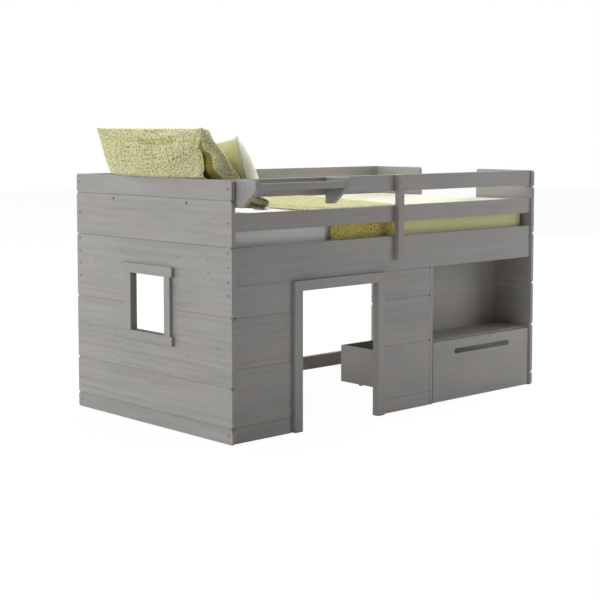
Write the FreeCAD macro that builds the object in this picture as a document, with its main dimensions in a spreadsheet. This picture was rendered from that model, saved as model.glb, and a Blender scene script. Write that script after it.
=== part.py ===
import FreeCAD, Part
import os
from types import SimpleNamespace

import Sketcher

# A low loft bed with a playhouse front: planked ends, guard rails, a door, a window, a bookcase,
# a roll-out drawer on castors, a tray shelf, an entry ladder and the bedding. Millimetres.
# Places are counted from the head end's outer front foot: X to the foot end, Y to the back, Z up.
# The part's own origin is under the middle of its box, on the floor.

SIZES = {
    # Whole bed
    "bed_height": 1086,
    "board_thickness": 20,
    "corner_clip": 9,
    "plank_ease": 3,
    "edge_ease": 2,
    "overrun": 10,
    "rest_gap": 0.3,
    # Tongues and grooves between the planks
    "tongue_thickness": 6,
    "tongue_height": 8,
    "tongue_stop": 26,
    "tongue_gap": 0.3,
    # Rails
    "rail_inset": 11,
    "rail_thickness": 28,
    "guard_rail_height": 74,
    "guard_gap": 65,
    "side_rail_height": 157,
    "stretcher_height": 70,
    # Guard posts
    "post_width": 38,
    "post_thickness": 24,
    "post_lift": 53,
    # Window in the head end
    "window_width": 242,
    "window_height": 254,
    "window_drop": 115,
    "trim_thickness": 15,
    "window_jamb_width": 41,
    "window_head_height": 44,
    "window_sill_trim_height": 41,
    "window_trim_overhang": 14,
    # Battens behind the end planks
    "batten_height": 85,
    "batten_thickness": 15,
    "upper_batten_rise": 63,
    "lower_batten_drop": 44,
    "upper_batten_inset": 100,
    "lower_batten_inset": 45,
    "batten_gap": 10,
    # Front wall and door
    "door_left": 390,
    "door_width": 461,
    "door_head_height": 44,
    "door_trim_width": 45,
    "door_trim_gap": 1,
    # Bookcase
    "bookcase_width": 726,
    "bookcase_depth": 218,
    "divider_thickness": 19,
    "shelf_height": 298,
    "shelf_thickness": 18,
    "bookcase_back_thickness": 12,
    # Drawer
    "drawer_gap": 3,
    "drawer_floor_gap": 3,
    "drawer_drop": 7,
    "drawer_front_thickness": 18,
    "drawer_wall": 15,
    "drawer_side_inset": 18,
    "drawer_box_height": 185,
    "drawer_box_lift": 20,
    "drawer_box_depth": 617,
    "drawer_bottom_thickness": 8,
    "slot_length": 414,
    "slot_height": 25,
    "slot_drop": 44,
    # Castors
    "wheel_radius": 19,
    "wheel_width": 16,
    "wheel_round": 3,
    "axle_radius": 3,
    "axle_play": 0.05,
    "wheel_side_gap": 1,
    "wheel_top_gap": 5,
    "fork_cheek": 2.5,
    "fork_width": 24,
    "fork_reach": 6,
    "fork_plate_width": 36,
    "fork_plate_thickness": 3,
    "castor_inset": 45,
    "castor_setback": 70,
    # Tray shelf at the head of the front rails
    "tray_reach": 132,
    "tray_bracket_thickness": 22,
    "tray_bracket_height": 113,
    "tray_bracket_nose": 39,
    "tray_bracket_foot": 43,
    "tray_start": 23,
    "tray_length": 532,
    "tray_lip_height": 30,
    "tray_lip_thickness": 18,
    "tray_lip_drop": 12,
    "tray_board_thickness": 15,
    # Slats
    "slat_width": 70,
    "slat_thickness": 18,
    "slat_end_gap": 2,
    "slat_margin": 45,
    "ledger_height": 30,
    "ledger_width": 24,
    "ledger_lift": 61,
    # Entry gap and ladder at the foot end
    "entry_width": 396,
    "entry_depth": 183,
    "ladder_width": 396,
    "ladder_drop": 13,
    "ladder_depth": 68,
    "stile_thickness": 22,
    "tread_thickness": 22,
    # Bolts, barrel nuts and screws
    "bolt_radius": 3,
    "bolt_head_radius": 6.5,
    "bolt_head_thickness": 1.6,
    "bolt_tip": 2,
    "post_bolt_cover": 6,
    "hex_key_width": 5,
    "drill_play": 0.2,
    "nut_radius": 5,
    "nut_length": 10,
    "nut_setback": 56,
    "header_bolt_drop": 36,
    "screw_radius": 2,
    "screw_head_radius": 4,
    "screw_head_thickness": 1,
    "screw_tip_cover": 5,
    "screw_row_spacing": 52,
    "hook_hole_radius": 3.5,
    "hook_hole_spacing": 527,
    "hook_hole_drop": 103,
    # Bedding
    "mattress_length": 1905,
    "mattress_width": 990,
    "mattress_height": 172,
    "mattress_round": 25,
    "mattress_end_play": 2.5,
    "bedding_play": 8,
    "cover_thickness": 10,
    "cover_start": 640,
    "cover_drop": 150,
    "cover_round": 18,
    "throw_thickness": 8,
    "throw_front_start": 560,
    "throw_front_width": 490,
    "throw_back_start": 660,
    "throw_back_width": 670,
    "pillow_reach": 108,
    "pillow_rise": 205,
    "pillow_foot": 225,
    "pillow_crown": 85,
    "woven_pillow_width": 740,
    "woven_pillow_start": 100,
    "plain_pillow_width": 700,
    "plain_pillow_start": 90,
    "plain_pillow_height": 440,
    "plain_pillow_crown": 60,
}

# Joints between planks, as shares of the height under the side rail, of the side rail
# and of the height over it
HEAD_WALL_JOINT_SHARES = (0.1014, 0.3595, 0.8018)
HEAD_GUARD_JOINT_SHARES = (0.0074, 0.694)
WALL_JOINT_SHARES = (0.1014, 0.473, 0.8)
FOOT_RAIL_JOINT_SHARE = 0.751
FOOT_GUARD_JOINT_SHARE = 0.7014

# Battens of the foot end, as shares of the planks that they lie behind
FOOT_UPPER_BATTEN_SHARE = 0.819
FOOT_LOWER_BATTEN_SHARE = 0.259

# Places of the batten screws across the bed, as shares of its depth
UPPER_SCREW_SHARES = (0.1375, 0.317, 0.683, 0.8625)
LOWER_SCREW_SHARES = (0.083, 0.266, 0.734, 0.917)
FOOT_SCREW_SHARES = (0.27, 0.42, 0.734, 0.917)

# Places of the guard post's bolts, as shares of the rail that they enter, from its bottom
POST_BOLT_SHARES = {"top": (0.54,), "mid": (0.56,), "side": (0.5, 0.7)}

# Places of the bolts at the rails' ends, as shares of the rail that they enter, from its bottom
RAIL_BOLT_SHARES = {"top": (0.5,), "mid": (0.5,), "side": (0.882, 0.5, 0.118)}

# Places of the ladder's bolts, as shares of its height
LADDER_BOLT_SHARES = (0.315, 0.72)

# Sections of a pillow from one end to the other: place, fullness and height, as shares
PILLOW_PLACE_SHARES = (0, 0.14, 0.5, 0.86, 1)
PILLOW_CROWN_SHARES = (0.12, 0.78, 1, 0.78, 0.12)
PILLOW_CHORD_SHARES = (1, 0.97, 0.94, 0.97, 1)
PILLOW_STACK_SHARE = 0.935
OUTER_CROWN_SHARE = 0.7

SLAT_COUNT = 13
TREAD_COUNT = 3
QUARTER_TURN = 90
AXES = "XYZ"

doc = FreeCAD.newDocument("loft_bed")
sheet = doc.addObject("Spreadsheet::Sheet", "sizes")
for row, (name, number) in enumerate(SIZES.items(), 1):
    sheet.set(f"A{row}", name)
    sheet.set(f"B{row}", str(number))
    sheet.setAlias(f"B{row}", name)
doc.recompute()
pieces = []


class Size:
    """A length known both as a number and as the expression that the document keeps."""

    def __init__(self, text, value):
        self.text = text
        self.value = value

    def __add__(self, other):
        other = size(other)
        return Size(f"({self.text} + {other.text})", self.value + other.value)

    def __sub__(self, other):
        other = size(other)
        return Size(f"({self.text} - {other.text})", self.value - other.value)

    def __mul__(self, factor):
        return Size(f"({self.text} * {factor})", self.value * factor)

    def __truediv__(self, factor):
        return Size(f"({self.text} / {factor})", self.value / factor)

    def __rsub__(self, other):
        return size(other) - self

    __radd__ = __add__
    __rmul__ = __mul__


def size(value):
    """A number as a Size; a Size as it is."""
    return value if isinstance(value, Size) else Size(str(value), value)


d = SimpleNamespace(**{name: Size(f"sizes.{name}", sheet.get(name)) for name in SIZES})

# Places that several pieces share
FLOOR = size(0)
head_inner = d.board_thickness
rail_back = d.rail_inset + d.rail_thickness
mattress_start = head_inner + d.batten_thickness + d.mattress_end_play
mattress_side = rail_back + d.cover_thickness + d.throw_thickness + d.bedding_play
bed_length = d.mattress_length + mattress_start * 2
bed_depth = d.mattress_width + mattress_side * 2
foot_inner = bed_length - d.board_thickness
middle = bed_depth / 2
top_rail_foot = d.bed_height - d.guard_rail_height
mid_rail_top = top_rail_foot - d.guard_gap
mid_rail_foot = mid_rail_top - d.guard_rail_height
side_rail_top = mid_rail_foot - d.guard_gap
wall_top = side_rail_top - d.side_rail_height
guard_height = d.bed_height - side_rail_top
wall_joints = [FLOOR] + [wall_top * share for share in WALL_JOINT_SHARES]
head_joints = (
    [FLOOR]
    + [wall_top * share for share in HEAD_WALL_JOINT_SHARES]
    + [side_rail_top + guard_height * share for share in HEAD_GUARD_JOINT_SHARES]
    + [d.bed_height]
)
foot_joints = wall_joints + [
    wall_top + d.side_rail_height * FOOT_RAIL_JOINT_SHARE,
    side_rail_top + guard_height * FOOT_GUARD_JOINT_SHARE,
    d.bed_height,
]
window_sill = head_joints[3] - d.window_drop
window_top = window_sill + d.window_height
window_span = (middle - d.window_width / 2, middle + d.window_width / 2)
door_span = (d.door_left, d.door_left + d.door_width)
door_frame_span = (door_span[0] - d.door_trim_width, door_span[1] + d.door_trim_width)
door_height = wall_top - d.door_trim_gap - d.door_head_height
entry_sill = d.bed_height - d.entry_depth
ladder_top = entry_sill - d.ladder_drop
drawer_bottom_foot = d.wheel_radius * 2 + d.wheel_top_gap + d.fork_plate_thickness
bolt_length = d.nut_setback + d.nut_radius + d.bolt_tip
post_bolt_length = d.post_thickness + d.rail_thickness - d.post_bolt_cover
screw_length = d.board_thickness + d.batten_thickness - d.screw_tip_cover
divider_span = (
    foot_inner - d.bookcase_width - d.divider_thickness,
    foot_inner - d.bookcase_width,
)
bookcase_back_span = (
    d.rail_inset + d.bookcase_depth,
    d.rail_inset + d.bookcase_depth + d.bookcase_back_thickness,
)
slat_foot = wall_top + d.ledger_lift + d.ledger_height
slat_top = slat_foot + d.slat_thickness
mattress_top = slat_top + d.mattress_height
mattress_span = (mattress_start, mattress_start + d.mattress_length)
origin_x = (d.pillow_reach - bed_length - d.ladder_depth) / 2
origin_y = (d.tray_reach - bed_depth - d.post_thickness - d.bolt_head_thickness) / 2

TURNS = {
    "X": FreeCAD.Rotation(FreeCAD.Vector(0, 1, 0), QUARTER_TURN),
    "Y": FreeCAD.Rotation(FreeCAD.Vector(1, 0, 0), -QUARTER_TURN),
    "Z": FreeCAD.Rotation(),
}


def bind(obj, path, value):
    """Ties a property to the sheet."""
    obj.setExpression(path, size(value).text)


def place(obj, x, y, z):
    """Puts an object at a place counted from the head end's outer front foot."""
    bind(obj, "Placement.Base.x", x + origin_x)
    bind(obj, "Placement.Base.y", y + origin_y)
    bind(obj, "Placement.Base.z", z)


def piece(label, obj):
    """Names an object as a piece of the bed that gets a file of its own."""
    obj.Label = label
    pieces.append(obj)
    return obj


def box(name, x, y, z):
    """A block between two places along each axis."""
    block = doc.addObject("Part::Box", name)
    for side, (low, high) in zip(("Length", "Width", "Height"), (x, y, z)):
        bind(block, side, high - low)
    place(block, x[0], y[0], z[0])
    return block


def rod(name, radius, along, start, end, across):
    """A cylinder along one axis from start to end; across gives its place on the other two axes."""
    cylinder = doc.addObject("Part::Cylinder", name)
    cylinder.Placement = FreeCAD.Placement(FreeCAD.Vector(), TURNS[along])
    bind(cylinder, "Radius", radius)
    bind(cylinder, "Height", end - start)
    at = dict(zip(AXES.replace(along, ""), across))
    at[along] = start
    place(cylinder, at["X"], at["Y"], at["Z"])
    return cylinder


def cut(name, base, tool):
    """What is left of the base without the tool."""
    left = doc.addObject("Part::Cut", name)
    left.Base = base
    left.Tool = tool
    return left


def fuse(name, *shapes):
    """Several touching shapes as one solid."""
    joined = doc.addObject("Part::MultiFuse", name)
    joined.Shapes = list(shapes)
    return joined


def group(name, members):
    """Several separate solids as one object."""
    together = doc.addObject("Part::Compound", name)
    together.Links = list(members)
    return together


def rounded(name, base, radius, chosen, way="Part::Fillet"):
    """The base with the edges that chosen picks rounded over, or cut off at a slant."""
    base.recompute()
    amount = size(radius).value
    edges = [
        (index, amount, amount)
        for index, edge in enumerate(base.Shape.Edges, 1)
        if chosen(edge)
    ]
    fillet = doc.addObject(way, name)
    fillet.Base = base
    fillet.Edges = edges
    return fillet


def lies_flat(axis):
    """Picks the edges that lie in a plane square to an axis."""
    return lambda edge: getattr(edge.BoundBox, f"{axis}Length") < d.rest_gap.value


def runs_along(axis):
    """Picks the straight edges along an axis."""
    across = [lies_flat(other) for other in AXES.replace(axis, "")]
    return lambda edge: all(flat(edge) for flat in across)


def board(name, x, y, z):
    """A plain board with all its edges eased."""
    return rounded(name, box(f"{name}_blank", x, y, z), d.edge_ease, lambda edge: True)


def plank(name, x, y, z, thin, tongue=True, groove=True):
    """A wall plank: clipped corners, eased faces, a stopped tongue above and a groove below."""
    blank = box(f"{name}_blank", x, y, z)
    corners = rounded(f"{name}_corners", blank, d.corner_clip, runs_along(thin), "Part::Chamfer")
    shape = rounded(f"{name}_eased", corners, d.plank_ease, lies_flat(thin))
    long_span = y if thin == "X" else x
    thin_low, thin_high = x if thin == "X" else y

    def strip(part, play, low, high):
        half = d.tongue_thickness / 2 + play
        centre = (thin_low + thin_high) / 2
        inset = d.tongue_stop - play
        spans = {
            thin: (centre - half, centre + half),
            "Y" if thin == "X" else "X": (long_span[0] + inset, long_span[1] - inset),
        }
        return box(f"{name}_{part}", spans["X"], spans["Y"], (low, high))

    if tongue:
        lip = strip("tongue", FLOOR, z[1] - d.tongue_height, z[1] + d.tongue_height)
        shape = fuse(f"{name}_tongued", shape, lip)
    if groove:
        slot = strip("groove", d.tongue_gap, z[0] - d.overrun, z[0] + d.tongue_height + d.tongue_gap)
        shape = cut(f"{name}_grooved", shape, slot)
    return shape


def spans_between(joints):
    """Pairs of neighbouring heights."""
    return list(zip(joints[:-1], joints[1:]))


def headed_rod(name, along, face, inward, length, across, radius, head_radius, head_thickness):
    """A bolt or screw whose head lies on a face; inward is 1 or -1 along its axis."""
    ends = sorted((face, face + length * inward), key=lambda place: place.value)
    head_ends = sorted((face, face - head_thickness * inward), key=lambda place: place.value)
    shank = rod(f"{name}_shank", radius, along, *ends, across)
    head = rod(f"{name}_head", head_radius, along, *head_ends, across)
    return fuse(name, shank, head)


def bolt(name, along, face, inward, across, length=bolt_length):
    """A flat-headed furniture bolt with a six-sided key hole."""
    blank = headed_rod(
        f"{name}_blank", along, face, inward, length, across,
        d.bolt_radius, d.bolt_head_radius, d.bolt_head_thickness,
    )
    key = doc.addObject("Part::Prism", f"{name}_key")
    key.Placement = FreeCAD.Placement(FreeCAD.Vector(), TURNS[along])
    bind(key, "Circumradius", d.hex_key_width / 2)
    bind(key, "Height", d.bolt_head_thickness * 2)
    at = dict(zip(AXES.replace(along, ""), across))
    at[along] = face - d.bolt_head_thickness
    place(key, at["X"], at["Y"], at["Z"])
    return cut(name, blank, key)


def screw(name, along, face, inward, across):
    """A wood screw with a low round head."""
    return headed_rod(
        name, along, face, inward, screw_length, across,
        d.screw_radius, d.screw_head_radius, d.screw_head_thickness,
    )


def drilling(name, along, face, inward, across, radius, length):
    """The hole for a bolt or screw, from outside its face to a little past its tip."""
    start = face - d.overrun * inward
    ends = sorted((start, face + (length + d.drill_play) * inward), key=lambda place: place.value)
    return rod(name, radius + d.drill_play, along, *ends, across)


def profile(sketch, points):
    """A closed outline of straight lines through places that the sheet drives."""
    count = len(points)
    for low, high in zip(points, points[1:] + points[:1]):
        start = FreeCAD.Vector(low[0].value, low[1].value, 0)
        end = FreeCAD.Vector(high[0].value, high[1].value, 0)
        sketch.addGeometry(Part.LineSegment(start, end), False)
    for index in range(count):
        following = (index + 1) % count
        sketch.addConstraint(Sketcher.Constraint("Coincident", index, 2, following, 1))
    for index, point in enumerate(points):
        for kind, axis, value in (("DistanceX", -2, point[0]), ("DistanceY", -1, point[1])):
            if value.value == 0:
                sketch.addConstraint(Sketcher.Constraint("PointOnObject", index, 1, axis))
            else:
                number = sketch.addConstraint(
                    Sketcher.Constraint(kind, -1, 1, index, 1, value.value)
                )
                bind(sketch, f"Constraints[{number}]", value)


def padded(name, plane, points, length):
    """A body made from one outline on one of its own planes, padded to a length."""
    body = doc.addObject("PartDesign::Body", name)
    sketch = body.newObject("Sketcher::SketchObject", f"{name}_outline")
    flat = [face for face in body.Origin.OriginFeatures if face.Role == plane]
    sketch.AttachmentSupport = [(flat[0], "")]
    sketch.MapMode = "FlatFace"
    profile(sketch, points)
    pad = body.newObject("PartDesign::Pad", f"{name}_pad")
    pad.Profile = sketch
    bind(pad, "Length", length)
    doc.recompute()
    return body


def part_way(span, share):
    """A place at a share of the way along a span."""
    return span[0] + (span[1] - span[0]) * share


def centre(span):
    """The middle of a span."""
    return (span[0] + span[1]) / 2


def about(middle_place, width):
    """A span of a width about a place."""
    return (middle_place - width / 2, middle_place + width / 2)


def mirrored(span):
    """The same span counted from the back of the bed."""
    return (bed_depth - span[1], bed_depth - span[0])


# Heights and places of the rails, and of the bolts that pull them against the ends
RAIL_HEIGHTS = {
    "top": (top_rail_foot, d.bed_height),
    "mid": (mid_rail_foot, mid_rail_top),
    "side": (wall_top, side_rail_top),
}
RAIL_DEPTHS = {
    "front": (d.rail_inset, rail_back),
    "back": mirrored((d.rail_inset, rail_back)),
}
END_FACES = {"head": (FLOOR, 1), "foot": (bed_length, -1)}
RAIL_BOLTS = [
    part_way(span, share)
    for kind, span in RAIL_HEIGHTS.items()
    for share in RAIL_BOLT_SHARES[kind]
]
HEADER_BOLT = [wall_top - d.header_bolt_drop]
FLOOR_BOLT = [d.stretcher_height / 2]
END_BOLTS = {
    ("head", "front"): RAIL_BOLTS + FLOOR_BOLT + HEADER_BOLT,
    ("head", "back"): RAIL_BOLTS + FLOOR_BOLT,
    ("foot", "front"): RAIL_BOLTS,
    ("foot", "back"): RAIL_BOLTS + FLOOR_BOLT,
}


def end_fasteners():
    """Bolts through the ends, their barrel nuts, and the holes for both."""
    bolts = []
    nuts = []
    holes = {"head": [], "foot": []}
    nut_holes = []
    for (end, side), heights in END_BOLTS.items():
        face, inward = END_FACES[end]
        column = centre(RAIL_DEPTHS[side])
        nut_span = about(column, d.nut_length)
        hole_span = (nut_span[0] - d.rest_gap, rail_back + d.overrun)
        if side == "back":
            hole_span = mirrored((bed_depth - nut_span[1] - d.rest_gap, rail_back + d.overrun))
        for number, height in enumerate(heights, 1):
            name = f"{end}_{side}_bolt_{number}"
            at = (face + d.nut_setback * inward, height)
            bolts.append(bolt(name, "X", face, inward, (column, height)))
            holes[end].append(
                drilling(f"{name}_hole", "X", face, inward, (column, height), d.bolt_radius, bolt_length)
            )
            nuts.append(rod(f"{name}_nut", d.nut_radius, "Y", *nut_span, at))
            nut_holes.append(
                rod(f"{name}_nut_hole", d.nut_radius + d.drill_play, "Y", *hole_span, at)
            )
    # The head end is drilled alike at both edges, so one spare hole is closed by a short bolt.
    column = centre(RAIL_DEPTHS["back"])
    spare = (column, HEADER_BOLT[0])
    bolts.append(bolt("head_spare_bolt", "X", FLOOR, 1, spare, d.board_thickness))
    holes["head"].append(
        drilling("head_spare_hole", "X", FLOOR, 1, spare, d.bolt_radius, d.board_thickness)
    )
    # The ladder's bolts go from inside the foot end into its stiles.
    ladder_holes = []
    for number, span in enumerate(stile_spans(), 1):
        for share in LADDER_BOLT_SHARES:
            name = f"ladder_bolt_{number}_{len(bolts)}"
            at = (centre(span), ladder_top * share)
            bolts.append(bolt(name, "X", foot_inner, 1, at))
            ladder_holes.append(
                drilling(f"{name}_hole", "X", foot_inner, 1, at, d.bolt_radius, bolt_length)
            )
    all_holes = group("bolt_drillings", holes["head"] + holes["foot"])
    piece("barrel_nuts", cut("barrel_nuts", group("nut_blanks", nuts), all_holes))
    return bolts, {
        "head": holes["head"],
        "foot": holes["foot"] + ladder_holes,
        "bolts": all_holes,
        "nuts": group("nut_drillings", nut_holes),
        "ladder": group("ladder_drillings", ladder_holes),
    }


def stile_spans():
    """Places of the ladder's two stiles across the bed."""
    low = middle - d.ladder_width / 2
    first = (low, low + d.stile_thickness)
    return [first, mirrored(first)]


def battens():
    """Two battens behind each end, with the screws that hold the planks to them."""
    head_upper = window_top + d.upper_batten_rise
    head_lower = window_sill - d.lower_batten_drop
    lower_plank, upper_plank = spans_between(foot_joints)[2:4]
    foot_upper = part_way(upper_plank, FOOT_UPPER_BATTEN_SHARE)
    foot_lower = part_way(lower_plank, FOOT_LOWER_BATTEN_SHARE)
    upper_across = (d.upper_batten_inset, bed_depth - d.upper_batten_inset)
    head_across = (d.lower_batten_inset, bed_depth - d.lower_batten_inset)
    foot_across = (bookcase_back_span[1] + d.batten_gap, bed_depth - d.lower_batten_inset)
    plan = {
        "head": (
            (head_upper, upper_across, UPPER_SCREW_SHARES),
            (head_lower, head_across, LOWER_SCREW_SHARES),
        ),
        "foot": (
            (foot_upper, upper_across, UPPER_SCREW_SHARES),
            (foot_lower, foot_across, FOOT_SCREW_SHARES),
        ),
    }
    screws = []
    holes = {}
    for end, rows in plan.items():
        face, inward = END_FACES[end]
        inner = face + d.board_thickness * inward
        depth = sorted((inner, inner + d.batten_thickness * inward), key=lambda place: place.value)
        holes[end] = []
        blanks = []
        for number, (height, across, shares) in enumerate(rows, 1):
            blanks.append(board(f"{end}_batten_{number}", depth, across, about(height, d.batten_height)))
            for row in about(height, d.screw_row_spacing):
                for share in shares:
                    name = f"{end}_screw_{len(holes[end]) + 1}"
                    at = (bed_depth * share, row)
                    screws.append(screw(name, "X", face, inward, at))
                    holes[end].append(
                        drilling(f"{name}_hole", "X", face, inward, at, d.screw_radius, screw_length)
                    )
        pair = group(f"{end}_batten_blanks", blanks)
        drilled = cut(f"{end}_battens", pair, group(f"{end}_screw_drillings", holes[end]))
        piece(f"{end}_battens", drilled)
    return screws, holes


def head_end(holes):
    """Six planks with the window cut through them and two open holes near the top."""
    rows = spans_between(head_joints)
    thickness = (FLOOR, head_inner)
    through = (FLOOR - d.overrun, head_inner + d.overrun)
    window = box("window_hole", through, window_span, (window_sill, window_top))
    hook_height = d.bed_height - d.hook_hole_drop
    hooks = [
        rod(f"hook_hole_{number}", d.hook_hole_radius, "X", *through, (across, hook_height))
        for number, across in enumerate(about(middle, d.hook_hole_spacing), 1)
    ]
    drillings = group("head_drillings", holes + hooks)
    for number, span in enumerate(rows, 1):
        name = f"head_plank_{number}"
        shape = plank(
            f"{name}_whole", thickness, (FLOOR, bed_depth), span, "X",
            tongue=number < len(rows), groove=number > 1,
        )
        if span[0].value < window_top.value and span[1].value > window_sill.value:
            shape = cut(f"{name}_window", shape, window)
        piece(name, cut(name, shape, drillings))


def window_trim():
    """Surface trim round the window: head, sill and two jambs."""
    thickness = (FLOOR - d.trim_thickness, FLOOR)
    left_jamb = (window_span[0] - d.window_jamb_width, window_span[0])
    across = (left_jamb[0] - d.window_trim_overhang, bed_depth - left_jamb[0] + d.window_trim_overhang)
    head = (window_top, window_top + d.window_head_height)
    sill = (window_sill - d.window_sill_trim_height, window_sill)
    piece("window_head", board("window_head", thickness, across, head))
    piece("window_sill", board("window_sill", thickness, across, sill))
    jambs = [
        board(f"window_jamb_{number}", thickness, span, (window_sill, window_top))
        for number, span in enumerate((left_jamb, mirrored(left_jamb)), 1)
    ]
    piece("window_jambs", group("window_jambs", jambs))


def foot_end(holes):
    """Planks of the foot end; the entry gap parts the top row and dips into the one below."""
    rows = spans_between(foot_joints)
    thickness = (foot_inner, bed_length)
    through = (foot_inner - d.overrun, bed_length + d.overrun)
    entry = about(middle, d.entry_width)
    drillings = group("foot_drillings", holes)
    for number, span in enumerate(rows[:-1], 1):
        name = f"foot_plank_{number}"
        shape = plank(
            f"{name}_whole", thickness, (FLOOR, bed_depth), span, "X",
            tongue=True, groove=number > 1,
        )
        if span[1].value > entry_sill.value:
            notch = box("entry_notch", through, entry, (entry_sill, d.bed_height))
            relief = (entry[0] - d.tongue_stop, entry[1] + d.tongue_stop)
            tongue_relief = box("tongue_relief", through, relief, (span[1], span[1] + d.overrun))
            shape = cut(f"{name}_notched", shape, notch)
            shape = cut(f"{name}_relieved", shape, tongue_relief)
        piece(name, cut(name, shape, drillings))
    front = (FLOOR, entry[0])
    tops = [
        plank(f"foot_top_{side}", thickness, span, rows[-1], "X", tongue=False)
        for side, span in (("front", front), ("back", mirrored(front)))
    ]
    piece("foot_top_boards", cut("foot_top_boards", group("foot_top_pair", tops), drillings))


def rails(drillings, post_holes):
    """Side rails and guard rails, front and back, and the stretcher on the floor at the back."""
    length = (head_inner, foot_inner)
    for side, depth in RAIL_DEPTHS.items():
        for kind, height in RAIL_HEIGHTS.items():
            name = f"{side}_{kind}_rail"
            shape = board(f"{name}_whole", length, depth, height)
            shape = cut(f"{name}_bolted", shape, drillings["bolts"])
            shape = cut(f"{name}_drilled", shape, post_holes)
            piece(name, cut(name, shape, drillings["nuts"]))
    whole = board("stretcher_whole", length, RAIL_DEPTHS["back"], (FLOOR, d.stretcher_height))
    bolted = cut("stretcher_bolted", whole, drillings["bolts"])
    piece("back_stretcher", cut("back_stretcher", bolted, drillings["nuts"]))


def guard_posts():
    """A post outside the middle of the guard rails, front and back, with its bolts."""
    length = about(bed_length / 2, d.post_width)
    height = (wall_top + d.post_lift, d.bed_height)
    front = (d.rail_inset - d.post_thickness, d.rail_inset)
    bolts = []
    holes = []
    posts = []
    for side, depth, inward in (("front", front, 1), ("back", mirrored(front), -1)):
        posts.append(board(f"{side}_post_whole", length, depth, height))
        face = depth[0] if side == "front" else depth[1]
        for kind, shares in POST_BOLT_SHARES.items():
            for share in shares:
                name = f"{side}_post_bolt_{len(bolts) + 1}"
                at = (bed_length / 2, part_way(RAIL_HEIGHTS[kind], share))
                bolts.append(bolt(name, "Y", face, inward, at, post_bolt_length))
                holes.append(
                    drilling(f"{name}_hole", "Y", face, inward, at, d.bolt_radius, post_bolt_length)
                )
    drillings = group("post_drillings", holes)
    piece("guard_posts", cut("guard_posts", group("post_pair", posts), drillings))
    return bolts, drillings


def front_wall(drillings):
    """Planks beside the door posts and the header over them."""
    depth = (d.rail_inset, d.rail_inset + d.board_thickness)
    rows = spans_between(wall_joints + [wall_top])
    left = (head_inner, door_frame_span[0])
    right = (door_frame_span[1], divider_span[0])
    for number, span in enumerate(rows[:-1], 1):
        for side, length in (("left", left), ("right", right)):
            name = f"front_{side}_plank_{number}"
            shape = plank(f"{name}_whole", length, depth, span, "Y", groove=number > 1)
            if side == "left":
                shape = cut(f"{name}_bolted", shape, drillings["bolts"])
                shape = cut(f"{name}_drilled", shape, drillings["nuts"])
            piece(name, shape)
    through = (depth[0] - d.overrun, depth[1] + d.overrun)
    doorway = box("doorway", door_frame_span, through, (FLOOR, door_height))
    header = plank("header_whole", (left[0], right[1]), depth, rows[-1], "Y", tongue=False)
    header = cut("header_notched", header, doorway)
    header = cut("header_bolted", header, drillings["bolts"])
    piece("front_header_plank", cut("front_header_plank", header, drillings["nuts"]))


def door_trim():
    """The door's two posts, as deep as the wall and its trim, under a head on the wall's face."""
    face = d.rail_inset - d.trim_thickness
    post_depth = (face, d.rail_inset + d.board_thickness)
    posts = [
        board(f"door_post_{side}", length, post_depth, (FLOOR, door_height))
        for side, length in (
            ("left", (door_frame_span[0], door_span[0])),
            ("right", (door_span[1], door_frame_span[1])),
        )
    ]
    piece("door_posts", group("door_posts", posts))
    height = (door_height, wall_top - d.door_trim_gap)
    piece("door_head", board("door_head", door_frame_span, (face, d.rail_inset), height))


def bookcase():
    """Divider, shelf and back panel."""
    inside = (divider_span[1], foot_inner)
    front = d.rail_inset + d.drawer_front_thickness + d.drawer_gap
    shelf_span = (d.shelf_height - d.shelf_thickness, d.shelf_height)
    piece(
        "bookcase_divider",
        board("bookcase_divider", divider_span, (d.rail_inset, bookcase_back_span[1]), (FLOOR, wall_top)),
    )
    piece("bookcase_shelf", board("bookcase_shelf", inside, (front, bookcase_back_span[0]), shelf_span))
    piece("bookcase_back", board("bookcase_back", inside, bookcase_back_span, (shelf_span[0], wall_top)))


def drawer():
    """Front with a slot to pull it by, and the box behind it."""
    length = (divider_span[1] + d.drawer_gap, foot_inner - d.drawer_gap)
    depth = (d.rail_inset, d.rail_inset + d.drawer_front_thickness)
    height = (d.drawer_floor_gap, d.shelf_height - d.drawer_drop)
    slot_top = height[1] - d.slot_drop
    slot_heights = (slot_top - d.slot_height, slot_top)
    straight = about(centre(length), d.slot_length - d.slot_height)
    through = (depth[0] - d.overrun, depth[1] + d.overrun)
    ends = [
        rod(f"slot_end_{number}", d.slot_height / 2, "Y", *through, (x, centre(slot_heights)))
        for number, x in enumerate(straight, 1)
    ]
    slot = fuse("slot", box("slot_middle", straight, through, slot_heights), *ends)
    piece("drawer_front", cut("drawer_front", board("drawer_front_whole", length, depth, height), slot))
    left = (length[0] + d.drawer_side_inset, length[0] + d.drawer_side_inset + d.drawer_wall)
    right = (length[1] - d.drawer_side_inset - d.drawer_wall, length[1] - d.drawer_side_inset)
    inside = (left[1], right[0])
    end = depth[1] + d.drawer_box_depth
    walls = (d.drawer_box_lift, d.drawer_box_lift + d.drawer_box_height)
    sides = [
        board(f"drawer_side_{name}", span, (depth[1], end), walls)
        for name, span in (("left", left), ("right", right))
    ]
    piece("drawer_sides", group("drawer_sides", sides))
    piece("drawer_back", board("drawer_back", inside, (end - d.drawer_wall, end), walls))
    floor = (drawer_bottom_foot, drawer_bottom_foot + d.drawer_bottom_thickness)
    piece("drawer_bottom", box("drawer_bottom", inside, (depth[1], end - d.drawer_wall), floor))
    return inside, (depth[1], end - d.drawer_wall)


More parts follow.
